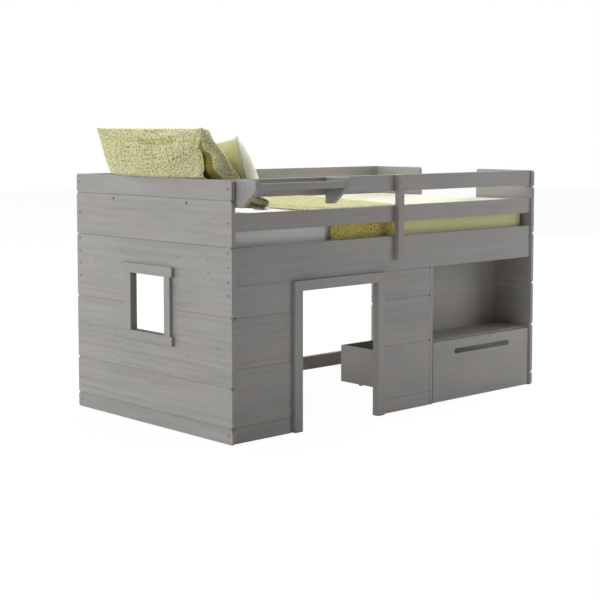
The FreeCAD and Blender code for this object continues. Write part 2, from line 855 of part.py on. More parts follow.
def castor(name, x, y):
    """A fixed castor under the drawer: its fork, its axle and its wheel."""
    gap = d.wheel_width + d.wheel_side_gap * 2
    outer = about(x, gap + d.fork_cheek * 2)
    plate_foot = drawer_bottom_foot - d.fork_plate_thickness
    cheek_height = (d.wheel_radius - d.fork_reach, plate_foot)
    plate = box(
        f"{name}_plate", about(x, d.fork_plate_width), about(y, d.fork_plate_width),
        (plate_foot, drawer_bottom_foot),
    )
    cheeks = [
        box(f"{name}_cheek_{number}", span, about(y, d.fork_width), cheek_height)
        for number, span in enumerate(
            ((outer[0], outer[0] + d.fork_cheek), (outer[1] - d.fork_cheek, outer[1])), 1
        )
    ]
    at = (y, d.wheel_radius)
    bore = d.axle_radius + d.axle_play
    fork = cut(
        f"{name}_fork", fuse(f"{name}_bracket", plate, *cheeks),
        rod(f"{name}_eye", bore, "X", outer[0] - d.overrun, outer[1] + d.overrun, at),
    )
    axle = rod(f"{name}_axle", d.axle_radius, "X", *outer, at)
    tread = about(x, d.wheel_width)
    disc = rod(f"{name}_disc", d.wheel_radius, "X", *tread, at)
    tyre = rounded(f"{name}_tyre", disc, d.wheel_round, lies_flat("X"))
    hole = rod(f"{name}_bore", bore, "X", tread[0] - d.overrun, tread[1] + d.overrun, at)
    return (fork, axle), cut(f"{name}_wheel", tyre, hole)


def castors(inside, depth):
    """Four castors; the two wheels of each row turn on one line."""
    carriers = []
    for row, y in (("front", depth[0] + d.castor_setback), ("back", depth[1] - d.castor_setback)):
        wheels = []
        for side, x in (("left", inside[0] + d.castor_inset), ("right", inside[1] - d.castor_inset)):
            carrier, wheel = castor(f"{row}_{side}_castor", x, y)
            carriers.extend(carrier)
            wheels.append(wheel)
        piece(f"{row}_wheels", group(f"{row}_wheels", wheels))
    piece("castor_forks", group("castor_forks", carriers))


def tray_shelf():
    """The tray outside the head of the front rails: two brackets, a board, a lip and its screws."""
    reach = FLOOR - d.tray_reach
    foot = FLOOR - d.tray_bracket_height
    outline = [
        (FLOOR, FLOOR),
        (reach, FLOOR),
        (reach, FLOOR - d.tray_bracket_nose),
        (FLOOR - d.tray_bracket_foot, foot),
        (FLOOR, foot),
    ]
    end = d.tray_start + d.tray_length
    starts = {"left": d.tray_start, "right": end - d.tray_bracket_thickness}
    brackets = []
    for side, x in starts.items():
        body = padded(f"tray_bracket_{side}", "YZ_Plane", outline, d.tray_bracket_thickness)
        place(body, x, d.rail_inset, d.bed_height)
        brackets.append(
            rounded(f"tray_bracket_{side}_eased", body, d.edge_ease, lambda edge: True)
        )
    inside = (d.tray_start + d.tray_bracket_thickness, end - d.tray_bracket_thickness)
    nose = d.rail_inset - d.tray_reach
    lip_heights = (
        d.bed_height - d.tray_lip_drop - d.tray_lip_height,
        d.bed_height - d.tray_lip_drop,
    )
    board_heights = (lip_heights[0], lip_heights[0] + d.tray_board_thickness)
    at = (d.rail_inset - d.tray_reach / 2, centre(board_heights))
    ends = (("left", d.tray_start, 1), ("right", end, -1))
    screws = [screw(f"tray_screw_{side}", "X", face, inward, at) for side, face, inward in ends]
    holes = [
        drilling(f"tray_hole_{side}", "X", face, inward, at, d.screw_radius, screw_length)
        for side, face, inward in ends
    ]
    drillings = group("tray_drillings", holes)
    shelf = board("tray_board_whole", inside, (nose + d.tray_lip_thickness, d.rail_inset), board_heights)
    piece("tray_brackets", cut("tray_brackets", group("tray_bracket_pair", brackets), drillings))
    piece("tray_board", cut("tray_board", shelf, drillings))
    piece("tray_lip", board("tray_lip", inside, (nose, nose + d.tray_lip_thickness), lip_heights))
    return screws


def slats():
    """Ledgers on the side rails and the slats that lie across them."""
    heights = (slat_foot - d.ledger_height, slat_foot)
    front = (rail_back, rail_back + d.ledger_width)
    ledgers = [
        board(f"ledger_{side}", (head_inner, foot_inner), depth, heights)
        for side, depth in (("front", front), ("back", mirrored(front)))
    ]
    piece("slat_ledgers", group("slat_ledgers", ledgers))
    first = head_inner + d.slat_margin
    last = foot_inner - d.slat_margin - d.slat_width
    across = (rail_back + d.slat_end_gap, bed_depth - rail_back - d.slat_end_gap)
    boards = []
    for number in range(SLAT_COUNT):
        x = first + (last - first) * (number / (SLAT_COUNT - 1))
        boards.append(
            board(f"slat_{number + 1}", (x, x + d.slat_width), across, (slat_foot, slat_top))
        )
    piece("bed_slats", group("bed_slats", boards))


def ladder(drillings):
    """Two stiles on the outside of the foot end and the treads between them."""
    depth = (bed_length, bed_length + d.ladder_depth)
    spans = stile_spans()
    stiles = [
        board(f"ladder_stile_{number}", depth, span, (FLOOR, ladder_top))
        for number, span in enumerate(spans, 1)
    ]
    piece("ladder_stiles", cut("ladder_stiles", group("ladder_stile_pair", stiles), drillings))
    across = (spans[0][1], spans[1][0])
    treads = []
    for number in range(1, TREAD_COUNT + 1):
        top = ladder_top * (number / (TREAD_COUNT + 1))
        treads.append(board(f"ladder_tread_{number}", depth, across, (top - d.tread_thickness, top)))
    piece("ladder_treads", group("ladder_treads", treads))


def bedding():
    """Mattress, the cover over its foot part and the throw across both."""
    across = (mattress_side, bed_depth - mattress_side)
    blank = box("mattress_blank", mattress_span, across, (slat_top, mattress_top))
    piece("mattress", rounded("mattress", blank, d.mattress_round, runs_along("Z")))
    cover_in = mattress_side - d.rest_gap
    cover_out = cover_in - d.cover_thickness
    cover_under = mattress_top + d.rest_gap
    cover_top = cover_under + d.cover_thickness
    hem = cover_top - d.cover_drop
    cover_length = (d.cover_start, mattress_span[1])
    past_ends = (cover_length[0] - d.overrun, cover_length[1] + d.overrun)
    across = (cover_out, bed_depth - cover_out)
    outer = box("cover_outer", cover_length, across, (hem, cover_top))
    eased = rounded("cover_eased", outer, d.cover_round, top_edge(cover_top))
    inside = (cover_in, bed_depth - cover_in)
    hollow = box("cover_hollow", past_ends, inside, (hem - d.overrun, cover_under))
    piece("bed_cover", cut("bed_cover", eased, hollow))
    throw_in = cover_out - d.rest_gap
    throw_out = throw_in - d.throw_thickness
    throw_under = cover_top + d.rest_gap
    depth = bed_depth - throw_out * 2
    outline = [
        (d.throw_front_start, FLOOR),
        (d.throw_front_start + d.throw_front_width, FLOOR),
        (d.throw_back_start + d.throw_back_width, depth),
        (d.throw_back_start, depth),
    ]
    body = padded("throw_outer", "XY_Plane", outline, throw_under + d.throw_thickness - hem)
    place(body, FLOOR, throw_out, hem)
    draped = rounded("throw_eased", body, d.cover_round, top_edge(throw_under + d.throw_thickness))
    hollow = box(
        "throw_hollow", (FLOOR, bed_length), (throw_in, bed_depth - throw_in),
        (hem - d.overrun, throw_under),
    )
    piece("woven_throw", cut("woven_throw", draped, hollow))


def top_edge(height):
    """Picks the long edges at the top of a draped cloth."""
    along = runs_along("X")
    return lambda edge: along(edge) and abs(edge.CenterOfMass.z - height.value) < d.rest_gap.value


def pillow(label, foot, lean, chord, outer_crown, inner_crown, start, width):
    """A stuffed pillow: two bulging faces that meet in a seam, drawn in between its corners."""
    face = FreeCAD.Vector(lean.z, 0, -lean.x)
    wires = []
    for share, crown, reach in zip(PILLOW_PLACE_SHARES, PILLOW_CROWN_SHARES, PILLOW_CHORD_SHARES):
        middle_point = foot + lean * (chord / 2) + FreeCAD.Vector(0, start + width * share, 0)
        low = middle_point - lean * (chord * reach / 2)
        high = middle_point + lean * (chord * reach / 2)
        outside = middle_point - face * (outer_crown * crown)
        inside = middle_point + face * (inner_crown * crown)
        arcs = [Part.Arc(low, outside, high).toShape(), Part.Arc(high, inside, low).toShape()]
        wires.append(Part.Wire(arcs))
    shape = doc.addObject("Part::Feature", label)
    shape.Shape = Part.makeLoft(wires, True, False)
    place(shape, FLOOR, FLOOR, FLOOR)
    piece(label, shape)


def pillows():
    """The woven pillow leans out over the head end; the plain one leans on it."""
    rest = (mattress_top + d.rest_gap).value
    foot = FreeCAD.Vector(d.pillow_foot.value, 0, rest)
    tip = FreeCAD.Vector(-d.pillow_reach.value, 0, (d.bed_height + d.pillow_rise).value)
    edge = FreeCAD.Vector(head_inner.value, 0, d.bed_height.value)
    lean = (tip - foot).normalize()
    face = FreeCAD.Vector(lean.z, 0, -lean.x)
    outer_crown = (foot - edge).dot(face) - d.rest_gap.value
    crown = d.pillow_crown.value
    pillow(
        "woven_pillow", foot, lean, (tip - foot).Length, outer_crown, crown,
        d.woven_pillow_start.value, d.woven_pillow_width.value,
    )
    plain_outer = d.plain_pillow_crown.value * OUTER_CROWN_SHARE
    shift = (crown + plain_outer) * PILLOW_STACK_SHARE / face.x
    pillow(
        "plain_pillow", foot + FreeCAD.Vector(shift, 0, 0), lean, d.plain_pillow_height.value,
        plain_outer, d.plain_pillow_crown.value,
        d.plain_pillow_start.value, d.plain_pillow_width.value,
    )


end_bolts, drillings = end_fasteners()
batten_screws, screw_holes = battens()
post_bolts, post_holes = guard_posts()
head_end(drillings["head"] + screw_holes["head"])
window_trim()
foot_end(drillings["foot"] + screw_holes["foot"])
rails(drillings, post_holes)
front_wall(drillings)
door_trim()
bookcase()
castors(*drawer())
tray_screws = tray_shelf()
piece("furniture_bolts", group("furniture_bolts", end_bolts + post_bolts))
piece("wood_screws", group("wood_screws", batten_screws + tray_screws))
slats()
ladder(drillings["ladder"])
bedding()
pillows()

doc.recompute()
for obj in doc.Objects:
    if {"Invalid", "Error"} & set(obj.State):
        raise RuntimeError(f"{obj.Label} failed: {obj.State}")
for made in pieces:
    if made.Shape.isNull() or not made.Shape.isValid():
        raise RuntimeError(f"{made.Label} has no valid shape")
os.makedirs("parts", exist_ok=True)
for made in pieces:
    made.Shape.exportStep(f"parts/{made.Label}.step")
print(len(pieces), "pieces written")
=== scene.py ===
"""Loft bed with a play den below: finishes, bedding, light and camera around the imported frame."""
import math

import bmesh
import bpy
import numpy as np
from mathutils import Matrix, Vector, noise


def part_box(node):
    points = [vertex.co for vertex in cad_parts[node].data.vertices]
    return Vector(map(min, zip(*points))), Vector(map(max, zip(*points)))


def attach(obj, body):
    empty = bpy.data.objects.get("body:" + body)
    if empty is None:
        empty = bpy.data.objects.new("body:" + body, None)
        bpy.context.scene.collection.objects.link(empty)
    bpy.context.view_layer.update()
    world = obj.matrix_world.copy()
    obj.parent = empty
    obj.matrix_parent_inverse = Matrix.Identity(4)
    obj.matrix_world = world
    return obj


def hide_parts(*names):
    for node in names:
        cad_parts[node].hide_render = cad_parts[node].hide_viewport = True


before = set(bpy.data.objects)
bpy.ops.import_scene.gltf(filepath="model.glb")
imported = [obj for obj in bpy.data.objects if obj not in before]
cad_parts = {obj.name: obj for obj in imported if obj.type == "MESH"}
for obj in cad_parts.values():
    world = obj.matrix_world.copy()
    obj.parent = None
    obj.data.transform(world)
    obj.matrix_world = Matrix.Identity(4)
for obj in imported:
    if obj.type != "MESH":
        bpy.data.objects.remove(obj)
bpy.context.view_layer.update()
bpy.ops.object.select_all(action="DESELECT")
scene = bpy.context.scene
scene.view_settings.view_transform = "Standard"

CORNER = np.array(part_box("head_plank_1")[0])  # outer front foot of the head end


# Boards by the way their grain runs

GRAIN = {
    "X": (
        "back_mid_rail", "back_side_rail", "back_stretcher", "back_top_rail", "bookcase_back",
        "bookcase_shelf", "door_head", "drawer_back", "drawer_bottom", "drawer_front",
        "front_header_plank", "front_left_plank_1", "front_left_plank_2", "front_left_plank_3",
        "front_right_plank_1", "front_right_plank_2", "front_right_plank_3", "front_mid_rail",
        "front_side_rail", "front_top_rail", "slat_ledgers", "tray_board", "tray_lip",
    ),
    "Y": (
        "head_plank_1", "head_plank_2", "head_plank_3", "head_plank_4", "head_plank_5", "head_plank_6",
        "foot_plank_1", "foot_plank_2", "foot_plank_3", "foot_plank_4", "foot_plank_5",
        "foot_top_boards", "window_head", "window_sill", "head_battens", "foot_battens", "bed_slats",
        "ladder_treads", "drawer_sides", "tray_brackets",
    ),
    "Z": ("guard_posts", "door_posts", "window_jambs", "bookcase_divider", "ladder_stiles"),
}
BARE_BOARDS = ("bed_slats", "slat_ledgers", "head_battens", "foot_battens")
STEEL_PARTS = ("furniture_bolts", "barrel_nuts", "wood_screws", "castor_forks")
WHEELS = ("front_wheels", "back_wheels")


# Small helpers for materials

def new_finish(name):
    """A node material with its shader: (material, tree, shader)."""
    finish = bpy.data.materials.new(name)
    finish.use_nodes = True
    return finish, finish.node_tree, finish.node_tree.nodes["Principled BSDF"]


def feed(tree, socket, value):
    """Links a socket to a socket, or sets its value."""
    if isinstance(value, bpy.types.NodeSocket):
        tree.links.new(value, socket)
    else:
        socket.default_value = value


def add(tree, kind, inputs=None, **settings):
    """A shader node with its settings, its inputs fed by values or by other sockets."""
    node = tree.nodes.new("ShaderNode" + kind)
    for name, value in settings.items():
        setattr(node, name, value)
    for name, value in (inputs or {}).items():
        feed(tree, node.inputs[name], value)
    return node


def mix_colour(tree, share, first, second, way="MIX"):
    """Two colours mixed by a share."""
    node = add(tree, "Mix", data_type="RGBA", blend_type=way)
    for index, value in ((0, share), (6, first), (7, second)):
        feed(tree, node.inputs[index], value)
    return node.outputs[2]


def multiplied(tree, colour, by):
    """A colour multiplied by another colour or by a shade."""
    return mix_colour(tree, 1.0, colour, by, "MULTIPLY")


def spread(tree, value, low, high, to_low=0.0, to_high=1.0):
    """A value stretched from one range to another and kept inside it."""
    node = add(tree, "MapRange", {
        "Value": value, "From Min": low, "From Max": high, "To Min": to_low, "To Max": to_high,
    })
    return node.outputs["Result"]


def sums(tree, way, first, second):
    """One arithmetic step."""
    node = add(tree, "Math", operation=way)
    feed(tree, node.inputs[0], first)
    feed(tree, node.inputs[1], second)
    return node.outputs["Value"]


def cloud(tree, place, scale, detail=2.0, roughness=0.5, distortion=0.0):
    """Soft noise from 0 to 1."""
    return add(tree, "TexNoise", {
        "Vector": place, "Scale": scale, "Detail": detail, "Roughness": roughness,
        "Distortion": distortion,
    }).outputs["Fac"]


def moved(tree, place, shift, scale=(1, 1, 1)):
    """A place scaled and shifted."""
    node = add(tree, "Mapping", {"Vector": place, "Location": tuple(shift), "Scale": tuple(scale)})
    return node.outputs["Vector"]


def relief(tree, shader, height, depth, strength=0.5):
    """Fine relief on the shader's normal."""
    bump = add(tree, "Bump", {"Height": height, "Distance": depth, "Strength": strength})
    feed(tree, shader.inputs["Normal"], bump.outputs["Normal"])


# Wood, metal and plastic

GREY_STAIN = {
    "dark": (0.352, 0.343, 0.330, 1), "light": (0.398, 0.391, 0.378, 1),
    "warm": (0.404, 0.366, 0.342, 1), "knot": (0.245, 0.232, 0.216, 1),
}
BARE_PINE = {
    "dark": (0.55, 0.40, 0.23, 1), "light": (0.67, 0.51, 0.32, 1),
    "warm": (0.66, 0.46, 0.27, 1), "knot": (0.27, 0.15, 0.07, 1),
}
GRAIN_STRETCH, PATCH_STRETCH, KNOT_STRETCH = 0.05, 0.3, 0.5
PITH_OFFSET = 0.11
STREAK_SCALE, LINE_SCALE, RING_SCALE = 55, 330, 11.0
STREAK_SHADE, RING_SHADE = (0.05, 0.045), (0.025, 0.01)  # darker and lighter by
LINE_DARK, LINE_LIGHT = 0.11, 0.08
TONE_SCALE, WARM_SCALE, WARM_SHIFT = 6.0, 8.0, (7, 3, 5)
KNOT_CELL, KNOT_SIZE, KNOT_RARITY, KNOT_WEIGHT = 2.6, (0.022, 0.050), (0.66, 0.70), 0.5
GRAIN_STRENGTH = {
    "head_plank": 1.9, "window": 1.5, "front_left": 1.5, "front_side": 1.3, "front_header": 1.3,
    "front_right": 0.75, "drawer": 0.7, "bookcase": 0.8,
}
# painted shade: near black painted on the walls of the open holes in head_plank_5
HOLE_RADIUS, HOLE_EDGE, HOLE_SHADE = 0.0045, 0.001, (0.012, 0.012, 0.011, 1)
HOLE_HEIGHT, HOLES_ACROSS = 0.983, (0.2965, 0.8235)
HOLES = {"head_plank_5": [(CORNER[1] + across, HOLE_HEIGHT) for across in HOLES_ACROSS]}


def grain_strength(board):
    """How strongly the grain of a board shows."""
    for start, strength in GRAIN_STRENGTH.items():
        if board.startswith(start):
            return strength
    return 1.0


def pine_places(tree, board, along, number):
    """Places on a board, and those for its grain, its patches and its knots, with seeded shifts."""
    place = add(tree, "TexCoord").outputs["Object"]
    low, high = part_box(board)
    middle = (low + high) / 2
    drawn = np.random.default_rng(number)
    axis = "XYZ".index(along)
    stretch, shift = np.ones(3), drawn.uniform(-PITH_OFFSET, PITH_OFFSET, 3)
    stretch[axis] = GRAIN_STRETCH
    shift[axis] = drawn.uniform(-2, 2)
    grain = moved(tree, place, shift - np.array(middle) * stretch, stretch)
    spot, half = drawn.uniform(-5, 5, 3), np.ones(3)
    half[axis] = PATCH_STRETCH
    cell = np.full(3, KNOT_CELL)
    cell[axis] *= KNOT_STRETCH
    return place, grain, moved(tree, place, spot, half), moved(tree, place, spot, cell)


def grain_shade(tree, grain, along, strength):
    """Shade of the streaks, rings and fine lines of the grain: (shade, lines, rings)."""
    streaks = cloud(tree, grain, STREAK_SCALE, 3, 0.55, 0.3)
    lines = cloud(tree, grain, LINE_SCALE, 3, 0.65)
    rings = add(tree, "TexWave", {
        "Vector": grain, "Scale": RING_SCALE, "Distortion": 3.0, "Detail": 3.0,
        "Detail Scale": 1.4, "Detail Roughness": 0.6,
    }, wave_type="RINGS", rings_direction=along).outputs["Fac"]
    shade = spread(
        tree, streaks, 0.25, 0.75, 1 - STREAK_SHADE[0] * strength, 1 + STREAK_SHADE[1] * strength)
    for step in (
        (rings, 0.0, 1.0, 1 - RING_SHADE[0] * strength, 1 + RING_SHADE[1] * strength),
        (lines, 0.60, 0.70, 1.0, 1 - LINE_DARK * strength),
        (lines, 0.26, 0.36, 1 + LINE_LIGHT * strength, 1.0),
    ):
        shade = sums(tree, "MULTIPLY", shade, spread(tree, *step))
    return shade, lines, rings


def knot_share(tree, place):
    """Where a few knots show."""
    knots = add(tree, "TexVoronoi", {"Vector": place, "Scale": 1.0})
    rare = spread(tree, knots.outputs["Color"], *KNOT_RARITY)
    near = spread(tree, knots.outputs["Distance"], *KNOT_SIZE, 1, 0)
    return sums(tree, "MULTIPLY", sums(tree, "MULTIPLY", near, rare), KNOT_WEIGHT)


def painted_hole_shade(tree, place, colour, holes):
    """Painted shade: darkness painted at open holes through the ends, where shade falls inside them,
    given by their places (y, z).
    """
    flat = moved(tree, place, (0, 0, 0), (0, 1, 1))
    for across, height in holes:
        away = add(tree, "VectorMath", {0: flat, 1: (0, across, height)}, operation="DISTANCE")
        share = spread(tree, away.outputs["Value"], HOLE_RADIUS, HOLE_RADIUS + HOLE_EDGE, 1, 0)
        colour = mix_colour(tree, share, colour, HOLE_SHADE)
    return colour


def pine(name, board, along, number, stain):
    """Pine with its grain along one axis: cloudy tone, warm patches, grain and a few knots."""
    finish, tree, shader = new_finish(name)
    place, grain, patch, knot_cells = pine_places(tree, board, along, number)
    tone = cloud(tree, patch, TONE_SCALE, 3, 0.55)
    colour = mix_colour(tree, spread(tree, tone, 0.3, 0.7), stain["dark"], stain["light"])
    warm = cloud(tree, moved(tree, patch, WARM_SHIFT), WARM_SCALE, 3)
    colour = mix_colour(tree, spread(tree, warm, 0.46, 0.68, 0, 0.6), colour, stain["warm"])
    shade, lines, rings = grain_shade(tree, grain, along, grain_strength(board))
    colour = multiplied(tree, colour, shade)
    colour = mix_colour(tree, knot_share(tree, knot_cells), colour, stain["knot"])
    # painted shade at the open holes
    if board in HOLES:
        colour = painted_hole_shade(tree, place, colour, HOLES[board])
    feed(tree, shader.inputs["Base Color"], colour)
    feed(tree, shader.inputs["Roughness"], spread(tree, lines, 0.3, 0.7, 0.68, 0.54))
    shader.inputs["Specular IOR Level"].default_value = 0.25
    relief(tree, shader, sums(tree, "ADD", lines, sums(tree, "MULTIPLY", rings, 0.4)), 0.0005, 0.3)
    return finish


def zinc_steel():
    """Dulled zinc plating, mottled."""
    finish, tree, shader = new_finish("zinc_steel_plated")
    place = add(tree, "TexCoord").outputs["Object"]
    mottle = cloud(tree, place, 420, 3)
    colour = mix_colour(tree, mottle, (0.20, 0.20, 0.196, 1), (0.28, 0.28, 0.275, 1))
    feed(tree, shader.inputs["Base Color"], colour)
    shader.inputs["Metallic"].default_value = 1.0
    feed(tree, shader.inputs["Roughness"], spread(tree, mottle, 0.3, 0.7, 0.62, 0.75))
    relief(tree, shader, mottle, 0.0002, 0.25)
    return finish


def wheel_plastic():
    """Moulded dark grey plastic with a fine matt grain and scuffs."""
    finish, tree, shader = new_finish("wheel_plastic_moulded")
    place = add(tree, "TexCoord").outputs["Object"]
    grain, scuffs = cloud(tree, place, 1500, 2), cloud(tree, place, 60, 4)
    colour = mix_colour(tree, scuffs, (0.030, 0.030, 0.031, 1), (0.060, 0.060, 0.060, 1))
    feed(tree, shader.inputs["Base Color"], colour)
    feed(tree, shader.inputs["Roughness"], spread(tree, scuffs, 0.3, 0.7, 0.42, 0.6))
    relief(tree, shader, grain, 0.0001, 0.3)
    return finish


# Cloth

# painted shade on the hanging front end of the cover and the throw fades out over this run
SIDE_SHADE_RUN = (0.125, 0.165)  # metres along the cloth from its front hem, where it turns to the top
WOVEN = {
    "ground": (0.93, 0.90, 0.44, 1), "pale": (0.98, 0.96, 0.65, 1),
    "olive": (0.25, 0.245, 0.075, 1), "brown": (0.22, 0.19, 0.07, 1),
}
SLUB_SCALES = ((240, 62, 1), (58, 250, 1))  # long way and cross way
SLUB_RANGES = ((0.54, 0.66), (0.56, 0.68))
THREAD_SCALES, THREAD_SHIFTS = ((210, 6, 1), (6, 210, 1)), ((3, 5, 0), (9, 2, 0))
THREAD_RANGES = ((0.60, 0.68), (0.62, 0.70))
SLUB_WEIGHT, THREAD_WEIGHT, FLECK_WEIGHT = 0.8, 0.85, 0.80
FLECK_PULL = 0.12
FLECKS = (
    {"shift": (31, 17, 0), "scale": (0.85, 1.5, 1), "range": (0.56, 0.63), "colour": "olive"},
    {"shift": (13, 41, 0), "scale": (1.5, 0.85, 1), "range": (0.58, 0.65), "colour": "brown"},
)


def let_through(shader, weight):
    """Light that enters thin cloth over white filling and comes out nearby."""
    shader.inputs["Subsurface Weight"].default_value = weight
    shader.inputs["Subsurface Radius"].default_value = (0.070, 0.066, 0.040)
    shader.inputs["Subsurface Scale"].default_value = 1.0


def painted_inside_shade(tree, colour, tint):
    """Painted shade: darkens the inside of a case's open mouth, which its mesh marks, where shade falls.
    """
    share = add(tree, "Attribute", attribute_name="inside").outputs["Fac"]
    return mix_colour(tree, share, colour, multiplied(tree, colour, tint))


def painted_hanging_shade(tree, uv, colour, tint):
    """Painted shade: deepens the colour of the end that hangs at the front, where its side falls in
    shade, by the run along the cloth.
    """
    run = add(tree, "SeparateXYZ", {"Vector": uv}).outputs["Y"]
    share = spread(tree, run, *SIDE_SHADE_RUN, 1, 0)
    return mix_colour(tree, share, colour, multiplied(tree, colour, tint))


def crossed_threads(tree, uv, scale, distortion):
    """Warp and weft threads, crossed."""
    warp, weft = [
        add(tree, "TexWave", {
            "Vector": uv, "Scale": scale, "Distortion": distortion, "Detail": 1.0,
        }, bands_direction=way).outputs["Fac"]
        for way in "XY"
    ]
    return sums(tree, "MULTIPLY", warp, weft)


def cotton(name, colour, worn, sheen, side_shade=None, inside_shade=None):
    """Plain woven cotton: fine crossed threads and soft uneven tone. UV is in metres."""
    finish, tree, shader = new_finish(name)
    uv = add(tree, "UVMap", uv_map="cloth").outputs["UV"]
    tone = cloud(tree, uv, 9, 4, 0.6)
    cloth = mix_colour(tree, spread(tree, tone, 0.35, 0.7), colour, worn)
    if side_shade:
        # painted shade: deeper colour on the hanging front end
        cloth = painted_hanging_shade(tree, uv, cloth, side_shade)
    # painted shade inside the open mouth of the case
    if inside_shade:
        cloth = painted_inside_shade(tree, cloth, inside_shade)
        let_through(shader, 0.5)
    feed(tree, shader.inputs["Base Color"], cloth)
    shader.inputs["Roughness"].default_value = 0.9
    shader.inputs["Sheen Weight"].default_value = sheen
    shader.inputs["Sheen Roughness"].default_value = 0.5
    relief(tree, shader, crossed_threads(tree, uv, 160.0, 0.6), 0.0003, 0.35)
    return finish


def either(tree, noises, ranges):
    """The stronger of two noises, each stretched from its own range."""
    first, second = [spread(tree, value, *limits) for value, limits in zip(noises, ranges)]
    return sums(tree, "MAXIMUM", first, second)


def add_flecks(tree, colour, way, thread, fleck):
    """Dark flecks along one way of the weave, more of them on some threads than on others."""
    spots = cloud(tree, moved(tree, way, fleck["shift"], fleck["scale"]), 1.0, 1, 0.5)
    spots = sums(tree, "ADD", spots, spread(tree, thread, 0.3, 0.7, -FLECK_PULL, FLECK_PULL))
    share = sums(tree, "MULTIPLY", spread(tree, spots, *fleck["range"]), FLECK_WEIGHT)
    return mix_colour(tree, share, colour, WOVEN[fleck["colour"]])


def woven_slub(name, tint=None, side_shade=None, inside_shade=None):
    """Coarse slub weave: pale yellow-green threads both ways, dark and light flecks. UV is in metres."""
    finish, tree, shader = new_finish(name)
    uv = add(tree, "UVMap", uv_map="cloth").outputs["UV"]
    ways = [moved(tree, uv, (0, 0, 0), scale) for scale in SLUB_SCALES]
    threads = [
        cloud(tree, moved(tree, uv, shift, scale), 1.0, 1, 0.5)
        for shift, scale in zip(THREAD_SHIFTS, THREAD_SCALES)
    ]
    slubs = either(tree, [cloud(tree, way, 1.0, 2, 0.6) for way in ways], SLUB_RANGES)
    tone = spread(tree, cloud(tree, uv, 9, 3), 0.3, 0.7, 0, 0.35)
    colour = mix_colour(tree, tone, WOVEN["ground"], WOVEN["pale"])
    for pale, weight in ((slubs, SLUB_WEIGHT), (either(tree, threads, THREAD_RANGES), THREAD_WEIGHT)):
        colour = mix_colour(tree, sums(tree, "MULTIPLY", pale, weight), colour, WOVEN["pale"])
    for way, thread, fleck in zip(ways, threads, FLECKS):
        colour = add_flecks(tree, colour, way, thread, fleck)
    crossings = crossed_threads(tree, uv, 80.0, 0.8)
    colour = multiplied(tree, colour, spread(tree, crossings, 0.0, 1.0, 0.86, 1.06))
    if tint:
        colour = multiplied(tree, colour, tint)
    # painted shade: deeper colour on the hanging front end
    if side_shade:
        colour = painted_hanging_shade(tree, uv, colour, side_shade)
    # painted shade inside the open mouth of the case
    if inside_shade:
        colour = painted_inside_shade(tree, colour, inside_shade)
    feed(tree, shader.inputs["Base Color"], colour)
    shader.inputs["Roughness"].default_value = 0.95
    shader.inputs["Sheen Weight"].default_value = 0.12
    relief(tree, shader, sums(tree, "ADD", crossings, slubs), 0.0011, 0.6)
    return finish


# Soft goods

def soft_mesh(name, points, faces, flat_places, finish):
    """A mesh piece in the frame from points given from the bed's corner, with a UV map in metres."""
    mesh = bpy.data.meshes.new(name)
    mesh.from_pydata([tuple(p) for p in np.asarray(points) + CORNER], [], faces)
    layer = mesh.uv_layers.new(name="cloth")
    for polygon, places in zip(mesh.polygons, flat_places):
        for loop, place in zip(polygon.loop_indices, places):
            layer.data[loop].uv = place
    mesh.materials.append(finish)
    mesh.shade_smooth()
    piece = bpy.data.objects.new(name, mesh)
    bpy.context.collection.objects.link(piece)
    return piece


def apply_modifiers(piece):
    """Applies every modifier of a piece."""
    bpy.ops.object.select_all(action="DESELECT")
    bpy.context.view_layer.objects.active = piece
    piece.select_set(True)
    for modifier in list(piece.modifiers):
        bpy.ops.object.modifier_apply(modifier=modifier.name)
    piece.select_set(False)


def grid_faces(rows, columns):
    """Quads of a grid of points stored row by row."""
    return [
        (r * columns + c, r * columns + c + 1, (r + 1) * columns + c + 1, (r + 1) * columns + c)
        for r in range(rows - 1) for c in range(columns - 1)
    ]


def ease(value):
    """Smooth step from 0 to 1."""
    value = np.clip(value, 0, 1)
    return value * value * (3 - 2 * value)


def waves(points, scale, seed):
    """Smooth seeded noise at a list of points, from about -1 to 1."""
    shift = Vector(np.random.default_rng(seed).uniform(-50, 50, 3))
    return np.array([noise.noise(Vector(p) * scale + shift) for p in points])


# Mattress in its white sheet

MATTRESS_CELLS = (64, 34, 8)
MATTRESS_ROUND = 0.038
SHEET_PULL, PULL_SCALE, PULL_SEED = 0.0022, 14.0, 11
PULL_REACH = 0.12  # from the head and foot ends, where the sheet is pulled most


def box_skin(cells):
    """Points and quads of a closed block from 0 to 1 with a grid of cells on every side."""
    index, points, faces = {}, [], []

    def corner(place):
        if place not in index:
            index[place] = len(points)
            points.append([place[k] / cells[k] for k in range(3)])
        return index[place]

    for axis in range(3):
        one, two = (axis + 1) % 3, (axis + 2) % 3
        for side in (0, cells[axis]):
            for a in range(cells[one]):
                for b in range(cells[two]):
                    ring = []
                    for da, db in ((0, 0), (1, 0), (1, 1), (0, 1)):
                        place = [0, 0, 0]
                        place[axis], place[one], place[two] = side, a + da, b + db
                        ring.append(corner(tuple(place)))
                    faces.append(tuple(ring) if side else tuple(reversed(ring)))
    return np.array(points), faces


